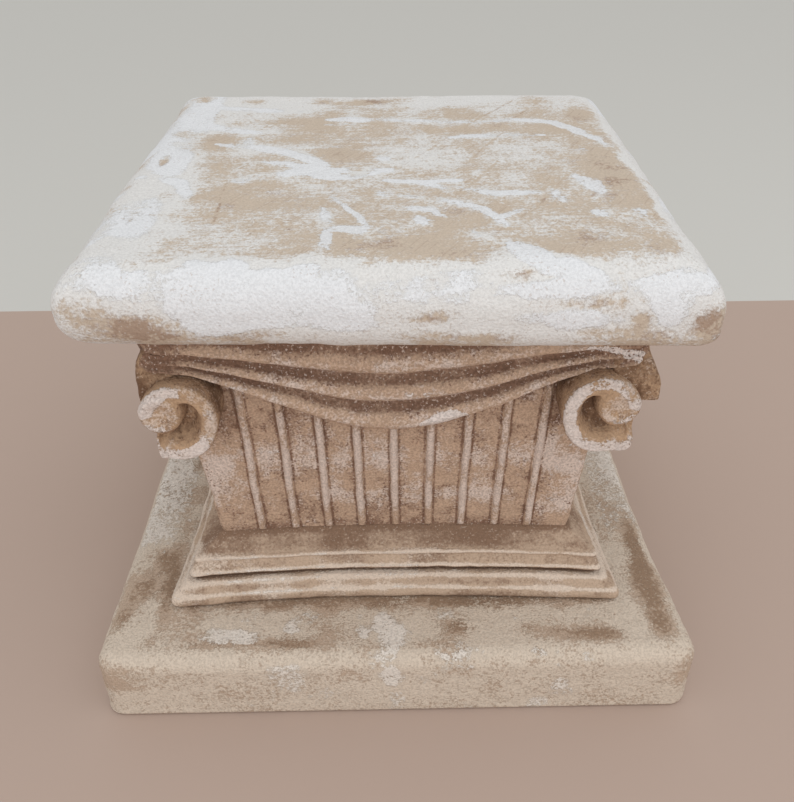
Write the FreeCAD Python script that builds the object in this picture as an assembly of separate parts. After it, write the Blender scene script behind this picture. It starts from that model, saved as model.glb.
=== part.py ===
import FreeCAD, Part
import math
import os

from FreeCAD import Vector

# Column riser: a low square column of cast plaster that lifts whatever stands on its top slab.
# Sizes are in millimetres. The riser stands on Z = 0, its axis is Z and its front faces -Y.
# Its four faces are alike, but only the front and the back carry scrolls. Every front piece is made once
# and turned about Z.

# Top slab: a thick square with rounded edges that meet in mitres at the corners
SLAB_OVERHANG = 25.3     # beyond the head of the body
SLAB_THICK = 40.0
SLAB_CORNER = 8.0        # radius of the corners in plan
SLAB_NOSE_FLAT = 3.0     # upright band between the upper and the lower round of the edge
SLAB_TOP_SHARE = 0.57    # part of the rest of the edge that is its upper round

# Plinth slab
PLINTH_SIDE = 342.0
PLINTH_THICK = 46.0
PLINTH_CORNER = 13.0     # radius of the corners in plan
PLINTH_ROUND = 10.0      # worn round of the top edge
PLINTH_EASE = 1.5        # small round of the bottom edge

# Fluted body: a square shaft that flares upwards, each face slightly hollow in plan
BODY_HEIGHT = 149.0
FOOT_INSET = 68.0        # from the edge of the plinth in to the edge of the body at its foot
FLARE = 21.7             # how much further out the edge of the body is at its head
SIDE_RADIUS = 1420.0     # radius of the hollow of each face in plan
PANEL_THICK = 14.0       # plaster face in front of the core, at the corners
RIB_COUNT = 9
RIB_MARGIN = 23.0        # from the middle of the last rib to the edge of the body at its foot
RIB_WIDTH = 4.4
RIB_PROUD = 2.4

# Core: a hollow tapering square tube that carries the slab and all the ornament
CORE_WALL = 20.0

# Stepped base, lower course: round nose, then a sloping fascia up to a lip and a groove
NOSE_HEIGHT = 9.0
NOSE_TUCK = 2.2          # how far the nose draws in at its top and at its bottom
NOSE_RUN = 7.5           # from the lip out to the nose
LOWER_HEIGHT = 14.0
LIP_RUN = 2.0            # from the foot of the upper course out to the lip
GROOVE_HEIGHT = 1.8
GROOVE_DEPTH = 4.0

# Stepped base, upper course: battered fascia, beaded arris, then a sloping wash to the body
FASCIA_HEIGHT = 9.5
FASCIA_BATTER = 4.5
BEAD = 1.4               # radius of the bead on the arris
WASH_RUN = 13.0
WASH_RISE = 9.7

# Swag: three folds of drapery, each a cove that falls to a lip. Drops are from the head of the body.
LIP_DROPS = (23.0, 41.0, 61.0)
LIP_END_DROPS = (11.0, 15.0, 18.5)
LIP_SHARES = (0.28, 0.40, 0.42)  # part of each fold's height that is its flat lip
COVE_OUT = 0.22          # where the middle of a cove lies, as shares of its reach and of its fall
COVE_DOWN = 0.62
LIP_PROUD = 11.0
LIP_END_PROUD = 4.5
ROOT_PROUD = 3.0         # depth of plaster left at the root of each fold
ROOT_END_PROUD = 1.6
SWAG_INSET = 5.7         # from the edge of the body's head in to the end of the swag
SAG_OVERRUN = 19.0       # how far the wave that the lips follow runs on past the end of the swag
SWAG_STATIONS = 9

# Corner block: the ear behind a volute
EAR_DROP = 39.0          # from the head of the body to the underside of the ear
EAR_HEAD_OUT = 0.8       # beyond the head of the body, at the top of the ear
EAR_FOOT_OUT = 7.3       # the same at its widest
EAR_NECK = 9.0           # upright part at the top of the ear
EAR_BELLY = 5.0          # upright part at the bottom of the ear
EAR_LAP = 21.0           # how far the ear laps along each face from its widest line

# Volute: a scroll whose band winds once round into a bulging eye
VOLUTE_RADIUS = 21.0
VOLUTE_INSET = 22.7      # from the edge of the body's head in to the middle of the scroll
VOLUTE_DROP = 44.0       # from the head of the body to the middle of the scroll
VOLUTE_PROUD = 5.0       # in front of the widest line of the ear
BAND_SHARE = 0.26        # half the width of the band, and the round of its front, as a share of the radius
EYE_SHARE = 0.52         # radius of the eye, as a share of the scroll's
EYE_ANGLE = 30.0         # where the band runs into the eye, in degrees above level
EYE_INSET = 0.4          # how far the eye stays inside the scroll's outline there
EYE_BULGE = 0.8          # how far the eye stands in front of the band
CHANNEL_DEPTH = 10.0     # from the front of the band to the floor between band and eye
FLOOR_INSET = 1.2        # how far the floor stays inside the scroll's outline
TAIL_SHARE = 0.88        # how far the tail runs out under the eye, as a share of the radius
TAIL_END_SHARE = 0.20    # half the width of the tail at its end, as a share of the radius

# Dowels and pegs that locate the castings, with the play that their bores leave round them
DOWEL_DIAMETER = 10.0
DOWEL_LENGTH = 40.0
DOWEL_PLAY = 0.15
PEG_DIAMETER = 5.0
PEG_LENGTH = 30.0
PEG_COVER = 2.0          # plaster left between a peg and the scroll's channel
PEG_PLAY = 0.10
PEG_INSET = 4.0          # from the middle of the scroll in towards the middle of the face

# Levels and lines that follow from the sizes above
LIP_Z = PLINTH_THICK + LOWER_HEIGHT
UPPER_Z = LIP_Z + GROOVE_HEIGHT
ARRIS_Z = UPPER_Z + FASCIA_HEIGHT
FOOT_Z = ARRIS_Z + WASH_RISE
HEAD_Z = FOOT_Z + BODY_HEIGHT
TOP_Z = HEAD_Z + SLAB_THICK
FOOT_HALF = PLINTH_SIDE / 2 - FOOT_INSET
HEAD_HALF = FOOT_HALF + FLARE
SLAB_SIDE = 2 * (HEAD_HALF + SLAB_OVERHANG)
SLAB_TOP_ROUND = SLAB_TOP_SHARE * (SLAB_THICK - SLAB_NOSE_FLAT)
SLAB_FOOT_ROUND = SLAB_THICK - SLAB_NOSE_FLAT - SLAB_TOP_ROUND
SWAG_HALF = HEAD_HALF - SWAG_INSET
SAG_WAVE = SWAG_HALF + SAG_OVERRUN
VOLUTE_OUT = HEAD_HALF - VOLUTE_INSET
RIB_PITCH = 2 * (FOOT_HALF - RIB_MARGIN) / (RIB_COUNT - 1)
AXIS_OUT = FOOT_HALF + math.sqrt(SIDE_RADIUS ** 2 - FOOT_HALF ** 2)
FOOT_MID = AXIS_OUT - SIDE_RADIUS
HEAD_BOW = AXIS_OUT - math.sqrt(SIDE_RADIUS ** 2 - HEAD_HALF ** 2)
LEAN = (HEAD_HALF - HEAD_BOW) / BODY_HEIGHT
ARRIS_REACH = FOOT_MID + WASH_RUN
UPPER_REACH = ARRIS_REACH + FASCIA_BATTER
LIP_REACH = UPPER_REACH + LIP_RUN
NOSE_REACH = LIP_REACH + NOSE_RUN
EAR_HALF = HEAD_HALF + EAR_FOOT_OUT
VOLUTE_FACE = EAR_HALF + VOLUTE_PROUD
VOLUTE_Z = HEAD_Z - VOLUTE_DROP
BAND_RADIUS = BAND_SHARE * VOLUTE_RADIUS
EYE_RADIUS = EYE_SHARE * VOLUTE_RADIUS
TAIL_OUT = TAIL_SHARE * VOLUTE_RADIUS
TAIL_RADIUS = TAIL_END_SHARE * VOLUTE_RADIUS
SWING = math.degrees(math.atan(PLINTH_SIDE / 2 / (AXIS_OUT - PLINTH_SIDE / 2)))

# Each face with the turn that brings the front there, and the corners at its left and right end
FACE_NAMES = ("front", "right", "back", "left")
CORNER_NAMES = ("front_left", "front_right", "back_right", "back_left")
FACES = []
for i, name in enumerate(FACE_NAMES):
    FACES.append((name, i * 360 / len(FACE_NAMES), CORNER_NAMES[i], CORNER_NAMES[(i + 1) % len(CORNER_NAMES)]))
SCROLL_FACES = FACES[::2]
UP = Vector(0, 0, 1)
INWARDS = Vector(0, 1, 0)
ORIGIN = Vector(0, 0, 0)


def turned(shape, degrees):
    """The shape turned about the riser's axis."""
    copy = shape.copy()
    copy.rotate(ORIGIN, UP, degrees)
    return copy


def mirrored(shape):
    """The shape for the other half of a face."""
    return shape.mirror(ORIGIN, Vector(1, 0, 0))


def line(a, b):
    return Part.LineSegment(a, b).toShape()


def arc(a, middle, b):
    return Part.Arc(a, middle, b).toShape()


def at(reach, z, x=0.0):
    """A point on the front, given by its reach out from the axis."""
    return Vector(x, -reach, z)


def largest(shape):
    """The one solid of a cut, without slivers that the cut may leave beside it."""
    return max(shape.Solids, key=lambda solid: solid.Volume)


def core_half(z):
    """Half width of the core's outside at a level."""
    return FOOT_HALF + LEAN * (z - FOOT_Z) - PANEL_THICK


def face_reach(x, z):
    """Reach of the body's hollow, leaning front face at a place on it."""
    return AXIS_OUT - math.sqrt(SIDE_RADIUS ** 2 - x ** 2) + LEAN * (z - FOOT_Z)


def square_wire(half, z):
    corners = [Vector(-half, -half, z), Vector(half, -half, z), Vector(half, half, z), Vector(-half, half, z)]
    return Part.makePolygon(corners + corners[:1])


def tapered_block(inset):
    """The core's outside, drawn in by an inset, from the plinth to the slab."""
    low = square_wire(core_half(PLINTH_THICK) - inset, PLINTH_THICK)
    high = square_wire(core_half(HEAD_Z) - inset, HEAD_Z)
    return Part.makeLoft([low, high], True, True)


def rounded_slab(side, thick, corner, z):
    """A square slab with its upright edges rounded."""
    slab = Part.makeBox(side, side, thick, Vector(-side / 2, -side / 2, z))
    upright = [edge for edge in slab.Edges if abs(edge.tangentAt(edge.FirstParameter).z) > 0.9]
    return slab.makeFillet(corner, upright)


def edges_at(shape, z):
    """The edges that lie in one level."""
    return [edge for edge in shape.Edges if abs(edge.BoundBox.ZMin - z) + abs(edge.BoundBox.ZMax - z) < 0.01]


def edges_in_depth(shape, z):
    """The edges of a level that run from front to back along its outer sides."""
    across = max(abs(edge.BoundBox.Center.x) for edge in edges_at(shape, z))
    return [edge for edge in edges_at(shape, z) if abs(edge.BoundBox.Center.x) > across - 0.01]


def mitre_wedge():
    """The quarter of the riser that belongs to its front face."""
    reach = PLINTH_SIDE
    outline = Part.makePolygon([ORIGIN, Vector(-reach, -reach, 0), Vector(reach, -reach, 0), ORIGIN])
    return Part.Face(outline).extrude(Vector(0, 0, TOP_Z))


def run_of_plaster(edges):
    """A length run along the front: the section follows the hollow of the face and is mitred at both ends."""
    section = Part.Face(Part.Wire(edges))
    centre = Vector(0, -AXIS_OUT, 0)
    section.rotate(centre, UP, -SWING)
    bar = section.revolve(centre, UP, 2 * SWING)
    return bar.common(mitre_wedge()).cut(SOLID_CORE)


def upright_bore(diameter, length, place):
    return Part.makeCylinder(diameter / 2, length, place, UP)


def four_corners(half, z):
    return [Vector(sx * half, sy * half, z) for sx in (-1, 1) for sy in (-1, 1)]


# Core, before its bores
SOLID_CORE = tapered_block(0.0)
body_core = SOLID_CORE.cut(tapered_block(CORE_WALL))
BACK = core_half(PLINTH_THICK) - CORE_WALL / 2

# Dowels stand half in the core and half in the slab above or below it
slab_dowel_places = four_corners(core_half(HEAD_Z) - CORE_WALL / 2, HEAD_Z - DOWEL_LENGTH / 2)
plinth_dowel_places = four_corners(core_half(PLINTH_THICK) - CORE_WALL / 2, PLINTH_THICK - DOWEL_LENGTH / 2)
slab_dowels = [upright_bore(DOWEL_DIAMETER, DOWEL_LENGTH, place) for place in slab_dowel_places]
plinth_dowels = [upright_bore(DOWEL_DIAMETER, DOWEL_LENGTH, place) for place in plinth_dowel_places]
dowel_bores = []
for place in slab_dowel_places + plinth_dowel_places:
    start = place - Vector(0, 0, DOWEL_PLAY)
    dowel_bores.append(upright_bore(DOWEL_DIAMETER + 2 * DOWEL_PLAY, DOWEL_LENGTH + 2 * DOWEL_PLAY, start))
body_core = body_core.cut(dowel_bores)

# Top slab: a bar with two rounded sides, met by the same bar turned across it
bar = Part.makeBox(SLAB_SIDE, SLAB_SIDE, SLAB_THICK, Vector(-SLAB_SIDE / 2, -SLAB_SIDE / 2, HEAD_Z))
bar = bar.makeFillet(SLAB_TOP_ROUND, edges_in_depth(bar, TOP_Z))
bar = bar.makeFillet(SLAB_FOOT_ROUND, edges_in_depth(bar, HEAD_Z))
top_slab = bar.common(turned(bar, 90)).common(rounded_slab(SLAB_SIDE, SLAB_THICK, SLAB_CORNER, HEAD_Z))
top_slab = largest(top_slab.cut(dowel_bores))

# Plinth slab, with a well in its middle that opens the hollow core from below
plinth_slab = rounded_slab(PLINTH_SIDE, PLINTH_THICK, PLINTH_CORNER, 0.0)
plinth_slab = plinth_slab.makeFillet(PLINTH_ROUND, edges_at(plinth_slab, PLINTH_THICK))
plinth_slab = plinth_slab.makeFillet(PLINTH_EASE, edges_at(plinth_slab, 0.0))
well_half = core_half(PLINTH_THICK) - CORE_WALL
well = Part.makeBox(2 * well_half, 2 * well_half, PLINTH_THICK, Vector(-well_half, -well_half, 0))
plinth_slab = plinth_slab.cut(well).cut(dowel_bores)

# Stepped base, lower course
nose_low = at(NOSE_REACH - NOSE_TUCK, PLINTH_THICK)
nose_out = at(NOSE_REACH, PLINTH_THICK + NOSE_HEIGHT / 2)
nose_high = at(NOSE_REACH - NOSE_TUCK, PLINTH_THICK + NOSE_HEIGHT)
lip = at(LIP_REACH, LIP_Z)
groove_low = at(UPPER_REACH - GROOVE_DEPTH, LIP_Z)
groove_high = at(UPPER_REACH - GROOVE_DEPTH, UPPER_Z)
nose_course = run_of_plaster([
    line(at(BACK, PLINTH_THICK), nose_low),
    arc(nose_low, nose_out, nose_high),
    line(nose_high, lip),
    line(lip, groove_low),
    line(groove_low, groove_high),
    line(groove_high, at(BACK, UPPER_Z)),
    line(at(BACK, UPPER_Z), at(BACK, PLINTH_THICK)),
])

# Stepped base, upper course
fascia_foot = at(UPPER_REACH, UPPER_Z)
bead_low = at(ARRIS_REACH, ARRIS_Z - BEAD)
bead_high = at(ARRIS_REACH, ARRIS_Z + BEAD)
fascia_course = run_of_plaster([
    line(at(BACK, UPPER_Z), fascia_foot),
    line(fascia_foot, bead_low),
    arc(bead_low, at(ARRIS_REACH + BEAD, ARRIS_Z), bead_high),
    line(bead_high, at(FOOT_MID, FOOT_Z)),
    line(at(FOOT_MID, FOOT_Z), at(BACK, FOOT_Z)),
    line(at(BACK, FOOT_Z), at(BACK, UPPER_Z)),
])


def swag_section(x):
    """Section of the swag at a station: three coves, each falling outwards to a lip that is undercut."""
    full = 1 - math.cos(math.pi * SWAG_HALF / SAG_WAVE)
    rise = (1 - math.cos(math.pi * x / SAG_WAVE)) / full
    lip_proud = LIP_PROUD + rise * (LIP_END_PROUD - LIP_PROUD)
    root_proud = ROOT_PROUD + rise * (ROOT_END_PROUD - ROOT_PROUD)
    edges = [line(at(BACK, HEAD_Z, x), at(face_reach(x, HEAD_Z) + root_proud, HEAD_Z, x))]
    top = HEAD_Z
    for drop, end_drop, share in zip(LIP_DROPS, LIP_END_DROPS, LIP_SHARES):
        bottom = HEAD_Z - drop - rise * (end_drop - drop)
        root = face_reach(x, top) + root_proud
        reach = face_reach(x, bottom) + lip_proud
        lip_top = bottom + share * (top - bottom)
        cove = at(root + COVE_OUT * (reach - root), top - COVE_DOWN * (top - lip_top), x)
        if top < HEAD_Z:
            edges.append(line(edges[-1].Vertexes[-1].Point, at(root, top, x)))
        edges.append(arc(at(root, top, x), cove, at(reach, lip_top, x)))
        edges.append(line(at(reach, lip_top, x), at(reach, bottom, x)))
        top = bottom
    edges.append(line(at(reach, top, x), at(BACK, top, x)))
    edges.append(line(at(BACK, top, x), at(BACK, HEAD_Z, x)))
    return Part.Wire(edges)


# Swag of the front face
stations = [SWAG_HALF * (2 * i / (SWAG_STATIONS - 1) - 1) for i in range(SWAG_STATIONS)]
swag = Part.makeLoft([swag_section(x) for x in stations], True, False)
swag = largest(swag.common(mitre_wedge()).cut(SOLID_CORE))
swags = [turned(swag, angle) for name, angle, left, right in FACES]


def ear_profile():
    """Outline of the corner block seen from the front: narrow at its head, bellied at its foot."""
    inner = EAR_HALF - EAR_LAP
    head = HEAD_HALF + EAR_HEAD_OUT
    low = HEAD_Z - EAR_DROP
    swell = Part.BezierCurve()
    swell_low = Vector(EAR_HALF, 0, low + EAR_BELLY)
    swell_high = Vector(head, 0, HEAD_Z - EAR_NECK)
    reach = (swell_high.z - swell_low.z) / 2
    swell.setPoles([swell_low, swell_low + Vector(0, 0, reach), swell_high - Vector(0, 0, reach), swell_high])
    corners = [swell_high, Vector(head, 0, HEAD_Z), Vector(inner, 0, HEAD_Z)]
    corners += [Vector(inner, 0, low), Vector(EAR_HALF, 0, low), swell_low]
    edges = [swell.toShape()] + [line(a, b) for a, b in zip(corners, corners[1:])]
    return Part.Face(Part.Wire(edges))


# Corner block of the front right corner: the profile of each of its two faces, met at a mitre
across = ear_profile().extrude(Vector(0, -2 * EAR_HALF, 0))
along = turned(ear_profile(), -90).extrude(Vector(2 * EAR_HALF, 0, 0))
corner_block = largest(across.common(along).cut(SOLID_CORE).cut(swags))
corner_blocks = [turned(corner_block, angle) for name, angle, left, right in FACES]


def panel_plan():
    """Plan of the fluted panel at its foot: a hollow line, broken by the round ribs that stand on it."""
    span = PLINTH_SIDE / 2
    places = [-span]
    for i in range(RIB_COUNT):
        middle = (i - (RIB_COUNT - 1) / 2) * RIB_PITCH
        places += [middle - RIB_WIDTH / 2, middle + RIB_WIDTH / 2]
    places.append(span)
    edges = []
    for i, (left, right) in enumerate(zip(places, places[1:])):
        middle = (left + right) / 2
        proud = RIB_PROUD if i % 2 else 0.0
        ends = [at(face_reach(x, FOOT_Z), FOOT_Z, x) for x in (left, right)]
        edges.append(arc(ends[0], at(face_reach(middle, FOOT_Z) + proud, FOOT_Z, middle), ends[1]))
    corners = [edges[-1].Vertexes[-1].Point, at(0, FOOT_Z, span), at(0, FOOT_Z, -span), edges[0].Vertexes[0].Point]
    edges += [line(a, b) for a, b in zip(corners, corners[1:])]
    return Part.Face(Part.Wire(edges))


# Fluted panel of the front face: its plan carried up along the lean of the body
panel = panel_plan().extrude(at(LEAN * BODY_HEIGHT, BODY_HEIGHT))
panel = panel.common(mitre_wedge()).cut(SOLID_CORE).cut(swags).cut(corner_blocks)
panel = largest(panel)


def band_section(radius, x, z):
    """Section of the scroll's band at a place: round in front, with straight sides running back."""
    low = at(VOLUTE_FACE - radius, z - radius, x)
    high = at(VOLUTE_FACE - radius, z + radius, x)
    back_low = at(BACK, z - radius, x)
    back_high = at(BACK, z + radius, x)
    front = arc(low, at(VOLUTE_FACE, z, x), high)
    return Part.Wire([front, line(high, back_high), line(back_high, back_low), line(back_low, low)])


def post(radius, front, x, z):
    """A round post that runs back from a front plane."""
    return Part.makeCylinder(radius, front - BACK, at(front, z, x), INWARDS)


# Right-hand scroll of the front face. Its band turns from the bottom up the inner side and over the top
# into the eye, its tail runs out below, and a floor closes the channel between them.
band_foot = VOLUTE_Z - VOLUTE_RADIUS + BAND_RADIUS
start = band_section(BAND_RADIUS, VOLUTE_OUT, band_foot)
band = Part.Face(start).revolve(Vector(VOLUTE_OUT, 0, VOLUTE_Z), INWARDS, 270 - EYE_ANGLE)
end = band_section(TAIL_RADIUS, VOLUTE_OUT + TAIL_OUT, VOLUTE_Z - VOLUTE_RADIUS + TAIL_RADIUS)
tail = Part.makeLoft([start, end], True, True)
eye_shift = VOLUTE_RADIUS - EYE_RADIUS - EYE_INSET
eye_x = VOLUTE_OUT + eye_shift * math.cos(math.radians(EYE_ANGLE))
eye_z = VOLUTE_Z + eye_shift * math.sin(math.radians(EYE_ANGLE))
eye_front = VOLUTE_FACE + EYE_BULGE - EYE_RADIUS
eye = Part.makeSphere(EYE_RADIUS, at(eye_front, eye_z, eye_x)).fuse(post(EYE_RADIUS, eye_front, eye_x, eye_z))
floor = post(VOLUTE_RADIUS - FLOOR_INSET, VOLUTE_FACE - CHANNEL_DEPTH, VOLUTE_OUT, VOLUTE_Z)
scroll = band.fuse([tail, eye, floor]).common(mitre_wedge())
scroll = largest(scroll.cut(SOLID_CORE).cut(swag).cut(corner_block).cut(panel))

# Pegs that pin the scrolls through the panel into the core
peg_place = at(VOLUTE_FACE - CHANNEL_DEPTH - PEG_COVER, VOLUTE_Z, VOLUTE_OUT - PEG_INSET)
bore_place = peg_place - Vector(0, PEG_PLAY, 0)
right_peg = Part.makeCylinder(PEG_DIAMETER / 2, PEG_LENGTH, peg_place, INWARDS)
right_bore = Part.makeCylinder(PEG_DIAMETER / 2 + PEG_PLAY, PEG_LENGTH + 2 * PEG_PLAY, bore_place, INWARDS)
bores = [mirrored(right_bore), right_bore]
left_scroll = mirrored(scroll).cut(bores[0])
right_scroll = scroll.cut(bores[1])
bored_panel = panel.cut(bores)
pegs = []
for name, angle, left, right in SCROLL_FACES:
    pegs += [turned(mirrored(right_peg), angle), turned(right_peg, angle)]
    body_core = body_core.cut([turned(bore, angle) for bore in bores])

# Every piece under its own name
pieces = {
    "plinth_slab": plinth_slab,
    "body_core": body_core,
    "top_slab": top_slab,
    "plinth_dowels": Part.makeCompound(plinth_dowels),
    "slab_dowels": Part.makeCompound(slab_dowels),
    "volute_pegs": Part.makeCompound(pegs),
}
for name, angle, left, right in FACES:
    pieces["base_nose_course_" + name] = turned(nose_course, angle)
    pieces["base_fascia_course_" + name] = turned(fascia_course, angle)
    pieces["fluted_panel_" + name] = turned(panel, angle)
    pieces["swag_" + name] = turned(swag, angle)
    pieces["corner_block_" + right] = turned(corner_block, angle)
for name, angle, left, right in SCROLL_FACES:
    pieces["fluted_panel_" + name] = turned(bored_panel, angle)
    pieces["volute_" + left] = turned(left_scroll, angle)
    pieces["volute_" + right] = turned(right_scroll, angle)

os.makedirs("parts", exist_ok=True)
for name, shape in pieces.items():
    shape.exportStep("parts/" + name + ".step")
    print(name, len(shape.Solids), "solid(s),", round(shape.Volume / 1000.0, 1), "cm3, valid:", shape.isValid())
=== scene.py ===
# %% [markdown]
# # Column riser in Blender
# The real riser is a low square column of cast plaster, painted by hand: white chalk paint rubbed through
# to tan on the top slab, a tan-brown ribbed body under hanging folds, scrolls on the corners and a cream
# plinth. The CAD model fixes where every casting sits. This lesson lays a hand-made surface and a worn
# paint finish over it, piece by piece.

# %% Load the frame
import math

import bpy
import numpy as np
from mathutils import Matrix


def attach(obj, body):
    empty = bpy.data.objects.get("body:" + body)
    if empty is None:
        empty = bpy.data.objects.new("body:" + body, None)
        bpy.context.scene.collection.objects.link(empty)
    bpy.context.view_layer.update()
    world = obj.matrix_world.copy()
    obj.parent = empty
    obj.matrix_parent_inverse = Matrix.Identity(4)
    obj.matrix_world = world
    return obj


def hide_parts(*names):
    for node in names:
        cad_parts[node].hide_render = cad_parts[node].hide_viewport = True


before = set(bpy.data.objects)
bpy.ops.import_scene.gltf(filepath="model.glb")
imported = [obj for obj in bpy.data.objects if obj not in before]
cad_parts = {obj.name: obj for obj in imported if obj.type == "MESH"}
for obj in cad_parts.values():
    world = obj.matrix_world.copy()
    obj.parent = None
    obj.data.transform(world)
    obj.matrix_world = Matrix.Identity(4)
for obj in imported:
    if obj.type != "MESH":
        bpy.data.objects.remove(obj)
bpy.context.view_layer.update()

# %% [markdown]
# ## Lines that all the pieces share
# Everything below is worked out in millimetres on whole arrays and turned into metres only when a mesh is
# made. The four faces are alike but for the scrolls, which stand on the front and the back, so a piece is
# drawn on the front, which looks towards -Y, and turned about the axis.

# %% Levels and slopes of the riser
METRES = 0.001  # metres in a millimetre
PLINTH_TOP, FOOT_Z, HEAD_Z, TOP_Z = 46.0, 81.0, 230.0, 270.0
FOOT_HALF, HEAD_HALF, SIDE_RADIUS = 103.0, 124.7, 1420.0
AXIS_OUT = FOOT_HALF + math.sqrt(SIDE_RADIUS ** 2 - FOOT_HALF ** 2)
HEAD_BOW = AXIS_OUT - math.sqrt(SIDE_RADIUS ** 2 - HEAD_HALF ** 2)
LEAN = (HEAD_HALF - HEAD_BOW) / (HEAD_Z - FOOT_Z)
FACES = ("front", "right", "back", "left")
CORNERS = ("front_left", "front_right", "back_right", "back_left")


def quarter_turned(x, y, k):
    """The place x, y turned k quarter turns about the axis, where k may differ from point to point."""
    return np.choose(k, [x, -y, -x, y]), np.choose(k, [y, x, -y, -x])


def on_face(x, y, z, k):
    """Points drawn on the front, turned to face k."""
    x, y = quarter_turned(x, y, k)
    return np.stack([x, y, np.broadcast_to(z, x.shape)], -1)


def push_out(points, k, amount, nx=0.0, ny=-1.0):
    """Move points of face k by an amount, along a direction drawn on the front, or else straight out."""
    nx, ny = quarter_turned(nx, ny, k)
    points[..., 0] += nx * amount
    points[..., 1] += ny * amount


def corner_reach(reach):
    """Where a hollow line with this reach at mid face meets the diagonal: h in 2h² - 2Ah + 2Ar - r² = 0."""
    return (AXIS_OUT - np.sqrt(AXIS_OUT ** 2 - 4 * AXIS_OUT * reach + 2 * reach ** 2)) / 2


def face_reach(x, z):
    """Reach of the body's face: a hollow circle in plan that leans outwards as it rises."""
    return AXIS_OUT - np.sqrt(SIDE_RADIUS ** 2 - x ** 2) + LEAN * (z - FOOT_Z)


print("mid reach at foot and head:", round(face_reach(0, FOOT_Z), 2), round(face_reach(0, HEAD_Z), 2))

# %% Plan of one side of a square
def side_line(t, half, corner, bow):
    """Plan of one side, from diagonal to diagonal, for t from -1 to 1 by length.

    The line is straight, then turns through half of a corner round at each end. Its middle is drawn in by
    bow, less by the square of the distance from the middle. Gives x, y and the outward direction, with the
    side facing -Y."""
    t, half, corner, bow = np.broadcast_arrays(t, half, corner, bow)
    flat = half - corner
    run = t * (flat + corner * math.pi / 4)
    turn = np.clip((np.abs(run) - flat) / np.maximum(corner, 1e-6), 0, math.pi / 4)
    x = np.where(np.abs(run) < flat, run, np.sign(run) * (flat + corner * np.sin(turn)))
    end = np.maximum(flat + corner * math.sqrt(0.5), 1e-6)
    y = -(flat + corner * np.cos(turn) - bow * (1 - (x / end) ** 2))
    return x, y, np.sign(run) * np.sin(turn), -np.cos(turn)


def square_ring(columns, half, corner):
    """Once round a square with rounded corners, columns on each side: x, y and the outward direction."""
    x, y, nx, ny = side_line(np.tile(np.linspace(-1, 1, columns + 1)[:-1], 4), half, corner, 0.0)
    k = np.broadcast_to(np.repeat(np.arange(4), columns), x.shape)
    return *quarter_turned(x, y, k), *quarter_turned(nx, ny, k)


def fade(value, low, high):
    """Smooth step from 0 at low to 1 at high."""
    share = np.clip((value - low) / (high - low), 0, 1)
    return share * share * (3 - 2 * share)


print("corner of a 100 mm side with a 10 mm round:", side_line(1.0, 50.0, 10.0, 0.0)[0].round(2))

# %% [markdown]
# ## The unevenness of plaster
# Cast plaster is never quite true: edges wander, flats swell and dip. A displacement texture could fake it
# in the shader, but the meshes are kept too, so the unevenness is real geometry: a smooth random field in
# space. Neighbouring castings read the same field at the same place, so they still meet.

# %% Random field
def lattice_value(cells, seed):
    """A fixed random number between -1 and 1 for each lattice cell, by mixing the bits of its indices."""
    mixed = (cells[..., 0] * 374761393 + cells[..., 1] * 668265263 + cells[..., 2] * 1103515245
             + seed * 974634777)
    mixed = mixed & 0xFFFFFFFF
    mixed = ((mixed ^ (mixed >> 13)) * 1274126177) & 0xFFFFFFFF
    mixed = ((mixed ^ (mixed >> 16)) * 668265263) & 0xFFFFFFFF
    return ((mixed >> 8) & 0xFFFF) / 32767.5 - 1


def swell(points, size, seed):
    """Smooth random field: lattice numbers in cells of one size, blended across a cell by a smooth step."""
    place = points / size
    low = np.floor(place).astype(np.int64)
    part = place - low
    part = part ** 3 * (part * (part * 6 - 15) + 10)
    total = np.zeros(points.shape[:-1])
    for corner in np.ndindex(2, 2, 2):
        weight = np.prod(np.where(np.array(corner) == 1, part, 1 - part), axis=-1)
        total += weight * lattice_value(low + np.array(corner), seed)
    return total


def rough(points, size, seed, layers=3):
    """Several swells added, each half as wide and half as strong as the one before."""
    return sum(swell(points, size / 2 ** k, seed + 31 * k) / 2 ** k for k in range(layers))


probe = rough(np.random.default_rng(7).uniform(-150, 150, (4000, 3)), 40.0, 5)
print("unevenness: mean", probe.mean().round(3), "spread", probe.std().round(3))

# %% [markdown]
# ## From arrays to pieces
# A surface is an array of rows and columns of points. Its faces join each point to the next row and column.
# Closed pieces wrap round or get a cap at each end. Three coats are stored with the points as attributes,
# for the paint: how brown the wash is, with painted shade in creases, under the folds and beside the scrolls
# added to it, how much thin chalk lies on it, and where thick paint was dabbed on, with painted light on
# the plinth's sides added to it.

# %% Faces and meshes
def grid_faces(rows, columns, wrap_rows=False, wrap_columns=False):
    """Quads of a grid of points: each joins a point to its neighbours in the next row and column."""
    r, c = np.meshgrid(np.arange(rows - (not wrap_rows)), np.arange(columns - (not wrap_columns)),
                       indexing="ij")
    r2, c2 = (r + 1) % rows, (c + 1) % columns
    corners = [r * columns + c, r * columns + c2, r2 * columns + c2, r2 * columns + c]
    return np.stack(corners, -1).reshape(-1, 4)


def signed_volume(mesh, points):
    """Volume within a closed mesh: a sixth of its triangles' triple products, negative when inside out."""
    mesh.calc_loop_triangles()
    corners = np.empty(len(mesh.loop_triangles) * 3, np.int32)
    mesh.loop_triangles.foreach_get("vertices", corners)
    a, b, c = points[corners.reshape(-1, 3)].transpose(1, 0, 2)
    return float(np.einsum("ij,ij->i", a, np.cross(b, c)).sum() / 6)


# %% Set a piece
SHARP_ANGLE = math.radians(52)  # faces that meet at more than this keep a crisp edge


def add_object(name, data):
    thing = bpy.data.objects.new(name, data)
    bpy.context.scene.collection.objects.link(thing)
    return thing


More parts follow.
